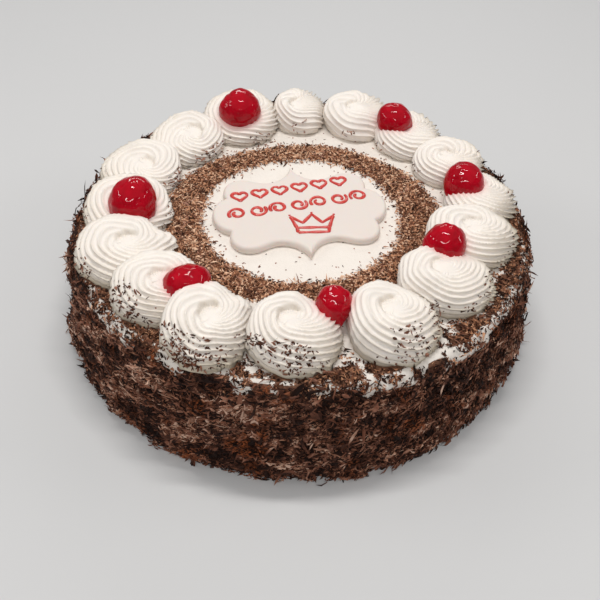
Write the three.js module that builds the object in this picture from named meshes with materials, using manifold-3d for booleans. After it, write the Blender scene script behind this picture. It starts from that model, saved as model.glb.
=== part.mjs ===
// A round black forest cake: a cream coat with shaved chocolate pressed all over its side and strewn on its
// top, a crown of sixteen piped cream rosettes, each lapping over the one before it, seven glazed cherries
// set in them, and a sugar plaque in the middle. Units are millimetres and +Z is up. The origin is the
// middle of the flat underside.
import * as THREE from "three";
import { mergeVertices } from "three/addons/utils/BufferGeometryUtils.js";
import Module from "manifold-3d";

const wasm = await Module();
wasm.setup();
const { degToRad, lerp } = THREE.MathUtils;

// Coat
const baseRadius = 111.5; // at the underside
const topRadius = 106.5; // at the rim
const bodyHeight = 53;
const footBevel = 1.5; // how far the coat's foot is drawn in
const footHeight = 3;
const rimRound = 4.5; // how far the rim is rounded over
const sideLevels = [0.3, 0.55, 0.78]; // heights of the side's rows of corners, as shares of the body's
const topLean = new THREE.Vector2(1.5, 0); // the sides lean a little, as a hand-stacked cake's do
const coatRoughness = 1.1; // depth of the coat's unevenness
const sideReach = 1; // how far inside the rim the side's unevenness begins
const bodyColumns = 48;
const gap = 0.35; // clear space kept between neighbouring pieces

// Ring of fine chocolate round the plaque
const decorCentre = new THREE.Vector2(1, 1); // middle of this ring and of the ring of rosettes
const bandInner = 47.5;
const bandOuter = 57;
const bandLift = 0.9;
const bandSlope = 1.5; // how far its edges run out
const bandRaggedness = 0.7;
const bandUnevenness = 0.25;

// Rosettes
const ridges = 11; // flutes that the piping nozzle leaves
const ridgeDepth = 1.8;
const crestFade = 0.55; // share of their depth that is lost up the dome
const rosetteTwist = degToRad(215); // how far a flute winds between the foot and the middle
const twistEase = 1.3; // above 1 the flutes wind faster towards the middle
const lapRise = 0.12; // share by which a rosette rises on the side that lies on its neighbour
const meanRise = 0.9; // height over the middle, as a share of the stated height
const tailRise = 0.14; // share by which it rises where the piping's tail comes round on top
const lowSide = degToRad(-75); // bearing of the lowest side from the tail's end
const dimpleHeight = 0.9; // height of the dimple's bottom, as a share of the rosette's
const dimpleRim = 0.2; // a flute is shallower within this share of the radius
const dimpleFlutes = 0.4;
const smoothColumns = 16;
const lapClearance = gap + 0.25;

// Bearing in degrees from +X, distance of the middle from decorCentre, radius, height, stretch along X and
// Y, and bearing in degrees of the tail's end.
const rosettes = [
  [-90.7, 82.3, 18.7, 18.5, 1, 1, 35],
  [-62.1, 83.4, 19.6, 18.5, 0.94, 1.04, 55],
  [-36.3, 78.5, 19.6, 17, 1.03, 0.95, 65],
  [-11.2, 79.1, 19.4, 16, 1.02, 0.98, 20],
  [9.4, 86.6, 17, 13.5, 0.97, 1.03, 15],
  [30.8, 84.6, 17.2, 14, 1, 1, 0],
  [50.5, 85.5, 17.2, 14.8, 0.97, 1.02, 30],
  [71.6, 87.3, 18, 17, 1, 1, 40],
  [92.2, 85.6, 15.4, 16.5, 0.93, 1.03, 60],
  [114, 84, 19.5, 16.5, 1, 1, 15],
  [137, 83.2, 18.7, 13.5, 1, 1, -60],
  [160, 84.8, 19, 13.5, 1, 1, -50],
  [181.8, 81.7, 19.8, 14.2, 1, 1, -20],
  [203.5, 85.8, 19.3, 16, 1, 1, 12],
  [224.9, 82.7, 19.2, 16.5, 1.04, 0.94, 20],
  [245.2, 87.7, 19.6, 18.5, 0.9, 1.03, 30],
].map(([bearing, reach, radius, height, wide, deep, tail]) => ({
  bearing: degToRad(bearing),
  reach,
  radius,
  height,
  stretch: [wide, deep],
  tail: degToRad(tail),
}));

// Middle, radius, stretch along the axes, way of the stem dimple, way of the blunt tip, and the tip's
// length as a share of the radius.
const cherries = [
  [[16.1, -68.2, 62.6], 8, [0.96, 0.96, 1.02], [0.2, 0.6, 0.8], [0.2, -0.7, -0.7], 0.2],
  [[65.3, -28.2, 64.4], 9.1, [1.02, 0.98, 0.93], [0.5, 0.8, 0.3], [0.6, -0.6, -0.5], 0.06],
  [[78.8, 19.5, 63.8], 9.6, [1.02, 1, 0.98], [0.2, 0.9, 0.4], [-0.7, -0.2, 0.7], 0.08],
  [[47.7, 69, 66.2], 8.8, [1.04, 1, 0.92], [0, 1, 0.2], [1, -0.1, -0.3], 0.08],
  [[-33, 71.3, 67.1], 10.6, [1, 0.95, 0.94], [0.2, 0.9, 0.4], [-0.1, -0.6, -0.8], 0.12],
  [[-76.6, -5.8, 64.8], 10.8, [1, 1, 0.97], [-0.8, 0.6, 0], [-0.8, -0.5, -0.4], 0.08],
  [[-45.6, -59.6, 63.3], 9.3, [1.06, 0.95, 0.92], [0.2, 0.9, -0.2], [-0.8, -0.5, -0.5], 0.2],
].map(([at, radius, stretch, stem, tip, tipLength]) => ({ at, radius, stretch, stem, tip, tipLength }));
const stemDepth = 0.2; // of the stem dimple, as a share of the radius
const stemSpread = 0.22;
const tipSharpness = 5;
const cherrySteps = 8;
const cherryColumns = 14;
const socketColumns = 12;
const socketClearance = gap + 0.35;
const cherryReach = 2; // a cherry this close to a rosette's edge has its socket cut from it

// Plaque
const plaqueHalfWidth = 41.6;
const plaqueHalfHeight = 33.4;
const plaqueThickness = 3.6;
const plaqueEdge = 1.3; // how far its upper edge is rounded
const plaqueFoot = 0.5; // height over which its foot is drawn in
const plaqueTurn = degToRad(10.5);
const plaqueCentre = new THREE.Vector2(0.5, 3);
const plaqueDivisions = 3; // of each curve of its outline

// A quarter of the plaque's outline from its upper point to its right end, as shares of its half width and
// half height: two handles and an end for each curve. It has a point at the top and foot, a round lobe in
// each corner and one at each end.
const plaqueCurves = [
  [0.05, 0.84, 0.14, 0.7, 0.28, 0.68],
  [0.42, 0.66, 0.48, 0.79, 0.62, 0.79],
  [0.8, 0.79, 0.88, 0.56, 0.82, 0.37],
  [0.94, 0.32, 1, 0.16, 1, 0],
];

// Shavings fused to the coat. Their sizes are length, width and thickness, each with its spread.
const goldenAngle = Math.PI * (3 - Math.sqrt(5));
const flakeBend = 0.12; // rise of a shaving's narrow end, as a share of its length
const flakeTaper = 0.45; // width of that end, as a share of the other's
const sideFlakes = 110;
const sideFlakeSize = [[9, 2.5], [3, 0.8], [1.8, 0.3]];
const sideFlakeTilt = [0.35, 0.15, 1.2]; // most that one turns about its length, its width and the way out
const sideFlakeOut = 0.6; // how far its middle stands out of the coat
const sideFlakeMargins = [5, 6]; // bare height left at the foot and under the rim
const topFlakeSize = [[5.5, 1.5], [1.9, 0.4], [1.3, 0.2]];
const topFlakeLift = 0.5;
const topFlakeClearance = 0.8;
const rimFlakes = 22;
const rimFlakeStart = 0.1; // bearing of the first of them
const rimFlakeReach = [topRadius - 6, 1.5]; // distance from the cake's middle, with its spread
const bandFlakes = 16;
const bandFlakeTurn = 0.1; // most that one is off its even place round the band
const bandFlakeReach = [bandInner + 1, 3];

const mergeTolerance = 1e-3;
const simplifyTolerance = 0.02;

const colours = {
  chocolate: new THREE.MeshStandardMaterial({ color: 0x3f2319, roughness: 0.75, metalness: 0 }),
  cream: new THREE.MeshStandardMaterial({ color: 0xf3efe2, roughness: 0.5, metalness: 0 }),
  cherry: new THREE.MeshStandardMaterial({ color: 0xb00318, roughness: 0.12, metalness: 0 }),
  sugar: new THREE.MeshStandardMaterial({ color: 0xece4d8, roughness: 0.6, metalness: 0 }),
};

// Random shares from 0 to 1 by a linear congruential sequence.
function seededRandom(seed) {
  const [factor, step, modulus] = [1664525, 1013904223, 2 ** 32];
  let state = seed;
  return () => {
    state = (state * factor + step) % modulus;
    return state / modulus;
  };
}
const seed = 20417;
const random = seededRandom(seed);
const spread = (middle, half) => middle + (random() * 2 - 1) * half;

function mergedPositions(geometry) {
  const bare = geometry.index ? geometry.toNonIndexed() : geometry.clone();
  bare.deleteAttribute("normal");
  bare.deleteAttribute("uv");
  return mergeVertices(bare, mergeTolerance);
}

function toSolid(geometry) {
  const merged = mergedPositions(geometry);
  return new wasm.Manifold(
    new wasm.Mesh({
      numProp: 3,
      vertProperties: new Float32Array(merged.attributes.position.array),
      triVerts: new Uint32Array(merged.index.array),
    }),
  );
}

// The largest body of a solid, so that scraps left by a cut are dropped.
function largestBody(solid) {
  const bodies = solid.decompose();
  return bodies.reduce((best, body) => (body.volume() > best.volume() ? body : best), bodies[0]);
}

function toMesh(name, solid, material) {
  const body = largestBody(solid.simplify(simplifyTolerance));
  const { numProp, numVert, vertProperties, triVerts } = body.getMesh();
  const positions = new Float32Array(numVert * 3);
  for (let i = 0; i < numVert; i++) {
    positions.set(vertProperties.subarray(i * numProp, i * numProp + 3), i * 3);
  }
  const geometry = new THREE.BufferGeometry();
  geometry.setAttribute("position", new THREE.BufferAttribute(positions, 3));
  geometry.setIndex(new THREE.BufferAttribute(triVerts, 1));
  geometry.computeVertexNormals();
  const mesh = new THREE.Mesh(geometry, material);
  mesh.name = name;
  return mesh;
}

// Outline of a rosette in section, from its foot to the rim of its dimple, as shares of radius and height.
const rosetteSection = [
  [0.92, 0],
  [1, 0.2],
  [0.95, 0.46],
  [0.8, 0.7],
  [0.58, 0.88],
  [0.34, 0.98],
  [0.14, 1],
];

function rosetteMiddle({ bearing, reach }) {
  return new THREE.Vector2(reach * Math.cos(bearing), reach * Math.sin(bearing)).add(decorCentre);
}

// Stretches a rosette, raises it where it lies on the rosette before it and where its tail comes round on
// top, and sets it in its place.
function placeRosette(geometry, rosette) {
  const { bearing, radius, stretch, tail } = rosette;
  const towardsPrevious = bearing - Math.PI / 2;
  const towardsLow = tail + lowSide;
  const middle = rosetteMiddle(rosette);
  const p = geometry.attributes.position;
  for (let i = 0; i < p.count; i++) {
    const [x, y] = [p.getX(i), p.getY(i)];
    const lap = (x * Math.cos(towardsPrevious) + y * Math.sin(towardsPrevious)) / radius;
    const low = (x * Math.cos(towardsLow) + y * Math.sin(towardsLow)) / radius;
    const rise = meanRise + lapRise * lap - tailRise * low;
    p.setXYZ(i, x * stretch[0] + middle.x, y * stretch[1] + middle.y, bodyHeight + gap + p.getZ(i) * rise);
  }
  return geometry;
}

// A fluted dome: every second column is a crest, and the columns wind round as they climb.
function flutedDome({ bearing, radius, height }) {
  const columns = ridges * 2;
  const rings = rosetteSection.length;
  const positions = [];
  rosetteSection.forEach(([out, up], ring) => {
    const climb = ring / rings;
    const depth = ridgeDepth * (1 - crestFade * climb);
    for (let column = 0; column < columns; column++) {
      const crest = (column % 2 ? 0.5 : -0.5) * depth;
      const angle = (column / columns) * 2 * Math.PI + rosetteTwist * climb ** twistEase + bearing;
      const r = out * radius + crest * (out > dimpleRim ? 1 : dimpleFlutes) - ridgeDepth / 2;
      const z = ring === 0 ? 0 : up * height + crest * climb;
      positions.push(r * Math.cos(angle), r * Math.sin(angle), z);
    }
  });
  const foot = positions.length / 3;
  positions.push(0, 0, 0, 0, 0, height * dimpleHeight);
  const faces = [];
  for (let column = 0; column < columns; column++) {
    const next = (column + 1) % columns;
    faces.push(foot, next, column);
    for (let ring = 0; ring + 1 < rings; ring++) {
      const [a, b] = [ring * columns + column, ring * columns + next];
      faces.push(a, b, b + columns, a, b + columns, a + columns);
    }
    const top = (rings - 1) * columns;
    faces.push(top + column, top + next, foot + 1);
  }
  const geometry = new THREE.BufferGeometry();
  geometry.setAttribute("position", new THREE.Float32BufferAttribute(positions, 3));
  geometry.setIndex(faces);
  return geometry;
}

// The smooth space that a rosette takes up, which the rosette under it is cut back to.
function smoothDome({ radius, height }) {
  const [footOut] = rosetteSection[0];
  const profile = [
    [0, -2 * lapClearance],
    [footOut * radius + lapClearance, -2 * lapClearance],
    ...rosetteSection.map(([out, up]) => [out * radius + lapClearance, up * height + lapClearance]),
    [0, height + lapClearance],
  ].map(([r, z]) => new THREE.Vector2(r, z));
  return new THREE.LatheGeometry(profile, smoothColumns).rotateX(Math.PI / 2);
}

const fluted = rosettes.map((rosette) => toSolid(placeRosette(flutedDome(rosette), rosette)));
const smooth = rosettes.map((rosette) => toSolid(placeRosette(smoothDome(rosette), rosette)));

// A cherry in its place. Its stem dimple is along +Z before the fruit is turned, drawn out to its tip and
// stretched. With a clearance it is the socket that the cherry sits in, and has no dimple.
function cherryGeometry({ at, radius, stretch, stem, tip, tipLength }, clearance = 0) {
  const profile = [];
  for (let step = 0; step <= cherrySteps; step++) {
    const polar = (step / cherrySteps) * Math.PI;
    const dimple = clearance ? 0 : stemDepth * Math.exp(-((Math.PI - polar) ** 2) / stemSpread);
    const r = (radius + clearance) * (1 - dimple);
    const onAxis = step === 0 || step === cherrySteps;
    profile.push(new THREE.Vector2(onAxis ? 0 : r * Math.sin(polar), -r * Math.cos(polar)));
  }
  const geometry = new THREE.LatheGeometry(profile, clearance ? socketColumns : cherryColumns);
  const stemWay = new THREE.Vector3(...stem).normalize();
  const turn = new THREE.Quaternion().setFromUnitVectors(new THREE.Vector3(0, 0, 1), stemWay);
  geometry.rotateX(Math.PI / 2).applyQuaternion(turn);
  const tipWay = new THREE.Vector3(...tip).normalize();
  const p = geometry.attributes.position;
  for (let i = 0; i < p.count; i++) {
    const corner = new THREE.Vector3().fromBufferAttribute(p, i);
    const towardsTip = Math.max(corner.dot(tipWay) / corner.length(), 0);
    corner.multiplyScalar(1 + tipLength * towardsTip ** tipSharpness);
    p.setXYZ(i, corner.x * stretch[0], corner.y * stretch[1], corner.z * stretch[2]);
  }
  return geometry.translate(...at);
}

const cherrySolids = cherries.map((cherry) => toSolid(cherryGeometry(cherry)));
const cherrySockets = cherries.map((cherry) => toSolid(cherryGeometry(cherry, socketClearance)));

function plaqueOutline(shrink) {
  const quarter = new THREE.Path();
  quarter.moveTo(0, plaqueHalfHeight);
  for (const shares of plaqueCurves) {
    const ends = shares.map((share, i) => share * (i % 2 ? plaqueHalfHeight : plaqueHalfWidth));
    quarter.bezierCurveTo(...ends);
  }
  const points = quarter.getPoints(plaqueDivisions);
  const mirror = (list, sx, sy) => list.map((p) => new THREE.Vector2(p.x * sx, p.y * sy));
  const right = points.concat(mirror(points, 1, -1).reverse().slice(1));
  const all = right.slice(0, -1).concat(mirror(right, -1, 1).reverse().slice(0, -1));
  return all.map((p) => p.clone().multiplyScalar(1 - shrink / p.length())).reverse();
}

function plaqueSolid() {
  const layers = [
    [plaqueFoot, 0],
    [0, plaqueFoot],
    [0, plaqueThickness - plaqueEdge],
    [plaqueEdge, plaqueThickness],
  ];
  const outlines = layers.map(([shrink, z]) => plaqueOutline(shrink).map((p) => [p.x, p.y, z]));
  const count = outlines[0].length;
  const positions = outlines.flat(2);
  const faces = [];
  for (let layer = 0; layer + 1 < layers.length; layer++) {
    for (let i = 0; i < count; i++) {
      const [a, b] = [layer * count + i, layer * count + ((i + 1) % count)];
      faces.push(a, b, b + count, a, b + count, a + count);
    }
  }
  const flat = outlines[0].map(([x, y]) => new THREE.Vector2(x, y));
  const top = (layers.length - 1) * count;
  for (const [a, b, c] of THREE.ShapeUtils.triangulateShape(flat, [])) {
    faces.push(a, c, b, top + a, top + b, top + c);
  }
  const geometry = new THREE.BufferGeometry();
  geometry.setAttribute("position", new THREE.Float32BufferAttribute(positions, 3));
  geometry.setIndex(faces);
  geometry.rotateZ(plaqueTurn).translate(plaqueCentre.x, plaqueCentre.y, bodyHeight + gap);
  return toSolid(geometry);
}

// The coated cake as a lathe, with its middle rings shifted to the decoration's middle and its coat
// roughened.
function bodyGeometry() {
  const profile = [
    [0, 0],
    [baseRadius - footBevel, 0],
    [baseRadius, footHeight],
    ...sideLevels.map((share) => [lerp(baseRadius, topRadius, share), bodyHeight * share]),
    [topRadius, bodyHeight - rimRound],
    [topRadius - rimRound / 3, bodyHeight - rimRound / 3],
    [topRadius - rimRound, bodyHeight],
    [bandOuter + bandSlope, bodyHeight],
    [bandOuter, bodyHeight + bandLift],
    [bandInner, bodyHeight + bandLift],
    [bandInner - bandSlope, bodyHeight],
    [0, bodyHeight],
  ].map(([r, z]) => new THREE.Vector2(r, z));
  const geometry = mergedPositions(new THREE.LatheGeometry(profile, bodyColumns).rotateX(Math.PI / 2));
  const p = geometry.attributes.position;
  for (let i = 0; i < p.count; i++) {
    const [x, y, z] = [p.getX(i), p.getY(i), p.getZ(i)];
    const r = Math.hypot(x, y);
    const onSide = r > topRadius - sideReach && z > 0;
    const onBand = z > bodyHeight + bandLift / 2;
    const raggedness = onSide ? coatRoughness : onBand ? bandRaggedness : 0;
    const out = raggedness ? 1 + spread(0, raggedness) / r : 1;
    const lift = onBand ? spread(0, bandUnevenness) : 0;
    const inDecor = z >= bodyHeight && r < bandOuter + 2 * bandSlope;
    const shift = inDecor ? decorCentre : topLean.clone().multiplyScalar(z / bodyHeight);
    p.setXYZ(i, x * out + shift.x, y * out + shift.y, z + lift);
  }
  return geometry;
}

// A shaving of chocolate: a bent sliver, wider at one end.
function flakeGeometry(sizes) {
  const [length, width, thickness] = sizes.map(([middle, half]) => spread(middle, half));
  const geometry = new THREE.BoxGeometry(length, width, thickness);
  const p = geometry.attributes.position;
  for (let i = 0; i < p.count; i++) {
    if (p.getX(i) > 0) p.setXYZ(i, p.getX(i), p.getY(i) * flakeTaper, p.getZ(i) + flakeBend * length);
  }
  return geometry;
}

// Shavings pressed on the side, spread evenly round and up it by the golden angle.
function sideFlake(index) {
  const bearing = index * goldenAngle;
  const [foot, head] = sideFlakeMargins;
  const height = lerp(foot, bodyHeight - head, (index + 0.5) / sideFlakes);
  const radius = lerp(baseRadius, topRadius, height / bodyHeight) + sideFlakeOut;
  const [roll, pitch, turn] = sideFlakeTilt.map((most) => spread(0, most));
  const flake = flakeGeometry(sideFlakeSize).rotateZ(turn).rotateX(roll).rotateY(pitch);
  flake.rotateX(Math.PI / 2).rotateZ(bearing + Math.PI / 2);
  const lean = topLean.clone().multiplyScalar(height / bodyHeight);
  return flake.translate(radius * Math.cos(bearing) + lean.x, radius * Math.sin(bearing) + lean.y, height);
}

// A shaving strewn on the flat top at a bearing and distance from a middle, or none close to a rosette or a
// cherry.
function topFlake(middle, bearing, distance) {
  const at = new THREE.Vector2(distance * Math.cos(bearing), distance * Math.sin(bearing)).add(middle);
  const [length, lengthSpread] = topFlakeSize[0];
  const clear = (length + lengthSpread) / 2 + topFlakeClearance;
  const onRosette = rosettes.some((rosette) => {
    return rosetteMiddle(rosette).distanceTo(at) < rosette.radius * Math.max(...rosette.stretch) + clear;
  });
  const onCherry = cherries.some((cherry) => {
    return Math.hypot(cherry.at[0] - at.x, cherry.at[1] - at.y) < cherry.radius + clear;
  });
  const flake = flakeGeometry(topFlakeSize).rotateZ(spread(0, Math.PI));
  return onRosette || onCherry ? null : flake.translate(at.x, at.y, bodyHeight + topFlakeLift);
}

function bodySolid() {
  const flakes = [];
  for (let i = 0; i < sideFlakes; i++) flakes.push(sideFlake(i));
  for (let i = 0; i < rimFlakes; i++) {
    const bearing = (i / rimFlakes) * 2 * Math.PI + rimFlakeStart;
    flakes.push(topFlake(topLean, bearing, spread(...rimFlakeReach)));
  }
  for (let i = 0; i < bandFlakes; i++) {
    const bearing = (i / bandFlakes) * 2 * Math.PI + spread(0, bandFlakeTurn);
    flakes.push(topFlake(decorCentre, bearing, spread(...bandFlakeReach)));
  }
  const solids = flakes.filter(Boolean).map(toSolid);
  return wasm.Manifold.union([toSolid(bodyGeometry()), ...solids]);
}

const cake = new THREE.Group();
cake.add(toMesh("cake_body", bodySolid(), colours.chocolate));

rosettes.forEach((rosette, index) => {
  const middle = rosetteMiddle(rosette);
  let solid = fluted[index].subtract(smooth[(index + 1) % rosettes.length]);
  cherries.forEach(({ at, radius }, n) => {
    const near = Math.hypot(at[0] - middle.x, at[1] - middle.y) < radius + rosette.radius + cherryReach;
    if (near) solid = solid.subtract(cherrySockets[n]);
  });
  cake.add(toMesh(`rosette_${String(index + 1).padStart(2, "0")}`, solid, colours.cream));
});

cherrySolids.forEach((solid, index) => cake.add(toMesh(`cherry_${index + 1}`, solid, colours.cherry)));
cake.add(toMesh("sugar_plaque", plaqueSolid(), colours.sugar));

export default cake;
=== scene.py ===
import math

import bpy
import numpy as np
from mathutils import Matrix, Vector
from mathutils.bvhtree import BVHTree


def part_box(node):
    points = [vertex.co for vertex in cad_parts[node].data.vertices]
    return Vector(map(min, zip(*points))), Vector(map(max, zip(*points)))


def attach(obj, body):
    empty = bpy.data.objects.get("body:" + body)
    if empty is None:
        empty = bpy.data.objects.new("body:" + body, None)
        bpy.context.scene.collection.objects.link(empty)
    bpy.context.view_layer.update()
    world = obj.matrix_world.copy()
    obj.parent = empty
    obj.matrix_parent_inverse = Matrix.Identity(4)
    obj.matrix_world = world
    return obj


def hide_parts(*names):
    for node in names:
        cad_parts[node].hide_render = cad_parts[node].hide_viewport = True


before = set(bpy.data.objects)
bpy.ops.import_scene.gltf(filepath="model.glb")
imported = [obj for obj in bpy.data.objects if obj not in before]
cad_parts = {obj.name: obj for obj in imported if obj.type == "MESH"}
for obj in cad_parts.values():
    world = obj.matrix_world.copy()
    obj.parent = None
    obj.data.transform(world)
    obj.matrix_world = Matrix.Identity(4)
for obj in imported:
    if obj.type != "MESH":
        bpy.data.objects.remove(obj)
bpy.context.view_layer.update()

mm = 0.001
scene = bpy.context.scene


class Port:  # an output socket that the usual operators work on
    def __init__(self, shader, socket):
        self.shader = shader
        self.socket = socket

    def __add__(self, other):
        return self.shader.maths("ADD", self, other)

    def __radd__(self, other):
        return self.shader.maths("ADD", other, self)

    def __sub__(self, other):
        return self.shader.maths("SUBTRACT", self, other)

    def __rsub__(self, other):
        return self.shader.maths("SUBTRACT", other, self)

    def __mul__(self, other):
        return self.shader.maths("MULTIPLY", self, other)

    def __rmul__(self, other):
        return self.shader.maths("MULTIPLY", other, self)

    def clamped(self):
        return self.shader.maths("ADD", self, 0, clamp=True)


class Shader:  # one material, its nodes and its Principled BSDF
    def __init__(self, name):
        self.material = bpy.data.materials.new(name)
        self.material.use_nodes = True
        self.tree = self.material.node_tree
        self.surface = self.tree.nodes["Principled BSDF"]

    def plug(self, socket, value):
        if isinstance(value, Port):
            self.tree.links.new(value.socket, socket)
        elif socket.type == "RGBA":
            socket.default_value = (*value, 1)
        else:
            socket.default_value = value

    def node(self, kind, settings=None, inputs=None, output=0):
        made = self.tree.nodes.new(kind)
        for key, value in (settings or {}).items():
            if key == "stops":
                ramp = made.color_ramp
                while len(ramp.elements) < len(value):
                    ramp.elements.new(1)
                for element, (place, colour) in zip(ramp.elements, value):
                    element.position = place
                    element.color = (*colour, 1)
            else:
                setattr(made, key, value)
        for key, value in (inputs or {}).items():
            self.plug(made.inputs[key], value)
        return Port(self, made.outputs[output])

    def maths(self, operation, first, second, clamp=False):
        settings = {"operation": operation, "use_clamp": clamp}
        return self.node("ShaderNodeMath", settings, {0: first, 1: second})

    def place(self):
        return self.node("ShaderNodeTexCoord", output="Object")

    def noise(self, size, detail=3, roughness=0.55, place=None):
        inputs = {"Vector": place or self.place(), "Scale": 1 / size,
                  "Detail": detail, "Roughness": roughness}
        return self.node("ShaderNodeTexNoise", {}, inputs, "Fac")

    def attribute(self, name):
        return self.node("ShaderNodeAttribute", {"attribute_name": name}, output="Fac")

    def ramp(self, value, stops):
        return self.node("ShaderNodeValToRGB", {"stops": stops}, {"Fac": value})

    def mix(self, share, first, second):  # of two colours, whose sockets are the node's seventh and eighth
        return self.node("ShaderNodeMix", {"data_type": "RGBA"}, {0: share, 6: first, 7: second}, 2)

    def bump(self, height, distance, strength=1.0):
        inputs = {"Height": height, "Distance": distance, "Strength": strength}
        self.plug(self.surface.inputs["Normal"], self.node("ShaderNodeBump", {}, inputs))

    def finish(self, **sockets):
        for name, value in sockets.items():
            self.plug(self.surface.inputs[name.replace("_", " ")], value)
        return self.material


creamColours = {
    "light": (0.88, 0.82, 0.757),
    "shade": (0.845, 0.78, 0.705),
    "deep": (0.54, 0.45, 0.32),  # painted shade, in the grooves, at the foot of each swirl and under its tail's edge
    "bleed": (0.86, 0.40, 0.38),  # where a cherry stains it
}

chocolateColours = {
    "shavings": [(0, (0.014, 0.005, 0.003)), (0.35, (0.068, 0.025, 0.015)), (0.62, (0.20, 0.077, 0.046)),
                 (0.85, (0.38, 0.19, 0.125)), (1, (0.62, 0.41, 0.31))],
    "crumbs": [(0, (0.012, 0.005, 0.004)), (0.35, (0.092, 0.034, 0.021)), (0.65, (0.27, 0.108, 0.063)),
               (0.88, (0.49, 0.245, 0.152)), (1, (0.70, 0.46, 0.34))],
    "warm": (0.36, 0.10, 0.034),
    "fine": [(0, (0.022, 0.008, 0.004)), (0.33, (0.21, 0.080, 0.041)), (0.6, (0.58, 0.285, 0.155)),
             (1, (1.0, 0.73, 0.52))],
    "specks": [(0, (0.06, 0.022, 0.012)), (0.4, (0.20, 0.080, 0.048)), (1, (0.52, 0.28, 0.20))],
    "underTop": [(0.3, (0.09, 0.037, 0.021)), (0.6, (0.25, 0.12, 0.07))],  # the dust between the pieces
    # partly the chocolate's own colour, partly painted shade in the gaps between the side's shavings
    "underSide": (0.022, 0.009, 0.006),
}

sweetColours = {
    "cherry": [(0.3, (0.33, 0.0, 0.007)), (0.55, (0.425, 0.0, 0.010)), (0.8, (0.53, 0.0, 0.013))],
    "gel": [(0.3, (0.50, 0.018, 0.012)), (0.7, (0.68, 0.05, 0.035))],
    "sugar": [(0.745, 0.668, 0.61), (0.775, 0.698, 0.64)],
}


def creamMaterial():
    s = Shader("whipped_cream")
    # painted shade: the hollow attribute draws the cream towards the deep colour in the grooves, at the foot
    # and under the tail's edge
    hollow = s.attribute("hollow")
    base = s.mix(hollow * 0.85, creamColours["light"], creamColours["deep"])
    stained = s.mix(s.attribute("bleed"), base, creamColours["bleed"])
    s.bump(s.noise(1.1 * mm, 4), 0.05 * mm, 0.5)
    return s.finish(Base_Color=stained, Roughness=0.42, Subsurface_Weight=0.12, Subsurface_Scale=2 * mm,
                    Subsurface_Radius=(1.0, 0.85, 0.65), Specular_IOR_Level=0.3)


def coatMaterial():
    s = Shader("cream_coat")
    place = s.place()
    grain = s.noise(1.3 * mm, 5, 0.7, place)
    patch = s.noise(9 * mm, 2, 0.5, place)
    cover = s.attribute("cover") + (grain - 0.5) * 0.9 + (patch - 0.5) * 0.5
    dust = ((cover - 0.42) * 7).clamped()
    fine = s.ramp(s.noise(0.9 * mm, 4, 0.7, place), chocolateColours["underTop"])
    # the coat under the side's shavings is painted near black: partly the chocolate's own colour, partly
    # painted shade in the gaps
    brown = s.mix(s.attribute("deep"), fine, chocolateColours["underSide"])
    cream = s.mix(patch, creamColours["light"], creamColours["shade"])
    s.bump(grain + dust * 0.4, 0.45 * mm, 0.8)
    return s.finish(Base_Color=s.mix(dust, cream, brown), Roughness=dust * 0.25 + 0.5, Specular_IOR_Level=0.3)


def shavingsMaterial(name, stops, drifting=0.6, warmth=0.0):
    s = Shader(name)
    perPiece = s.node("ShaderNodeNewGeometry", output="Random Per Island")
    drift = s.noise(7 * mm, 3, 0.65)
    # the attribute brings in painted shade in the side's hollows and painted light on its ledges
    tone = (perPiece * 0.92 - 0.02 + (drift - 0.5) * drifting + s.attribute("tone") * 0.75).clamped()
    brown = s.ramp(tone, stops)
    if warmth:
        patch = ((s.noise(13 * mm, 2) - 0.55) * 8).clamped()
        brown = s.mix((patch * perPiece * warmth).clamped(), brown, chocolateColours["warm"])
    s.bump(s.noise(0.5 * mm, 3), 0.06 * mm, 0.7)
    return s.finish(Base_Color=brown, Roughness=0.62, Specular_IOR_Level=0.14)


def cherryMaterial():
    s = Shader("glazed_cherry")
    red = s.ramp(s.noise(6 * mm, 3), sweetColours["cherry"])
    s.bump(s.noise(2.8 * mm, 2), 0.5 * mm, 0.55)
    return s.finish(Base_Color=red, Roughness=0.35, Coat_Weight=1.0, Coat_Roughness=0.035, Coat_IOR=1.38,
                    Specular_IOR_Level=0.0)


def sugarMaterial():
    s = Shader("sugar_paste")
    tint = s.mix(s.noise(12 * mm, 3), *sweetColours["sugar"])
    s.bump(s.noise(1.6 * mm, 4), 0.06 * mm, 0.5)
    return s.finish(Base_Color=tint, Roughness=0.5, Subsurface_Weight=0.15, Subsurface_Scale=2 * mm,
                    Specular_IOR_Level=0.4)


def gelMaterial():
    s = Shader("red_gel")
    red = s.ramp(s.noise(2.5 * mm, 3), sweetColours["gel"])
    return s.finish(Base_Color=red, Roughness=0.3, Coat_Weight=0.4, Coat_Roughness=0.15)


def floorMaterial():
    s = Shader("pale_floor")
    shade = s.mix(s.noise(0.4, 2), (0.62, 0.62, 0.62), (0.65, 0.65, 0.65))
    return s.finish(Base_Color=shade, Roughness=0.7, Specular_IOR_Level=0.2)


def makePiece(name, points, faces, material, nodes=(), smooth=True, attributes=None):
    mesh = bpy.data.meshes.new(name)
    mesh.from_pydata(points.tolist(), [], faces)
    for key, values in (attributes or {}).items():
        layer = mesh.attributes.new(key, "FLOAT", "POINT")
        layer.data.foreach_set("value", np.asarray(values, dtype=np.float32))
    mesh.materials.append(material)
    if smooth:
        mesh.shade_smooth()
    mesh.update()
    piece = bpy.data.objects.new(name, mesh)
    scene.collection.objects.link(piece)
    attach(piece, "root")
    if nodes:
        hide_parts(*nodes)
    return piece


def gridFaces(rows, columns):  # quads between rows of points, each row running round
    row = np.arange(rows - 1)[:, None] * columns
    here = np.arange(columns)[None, :]
    after = (here + 1) % columns
    corners = [row + here, row + after, row + columns + after, row + columns + here]
    return np.stack(corners, axis=-1).reshape(-1, 4)


def rowFace(row, columns):  # one face over a whole row of points
    return [row * columns + i for i in range(columns)]


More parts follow.
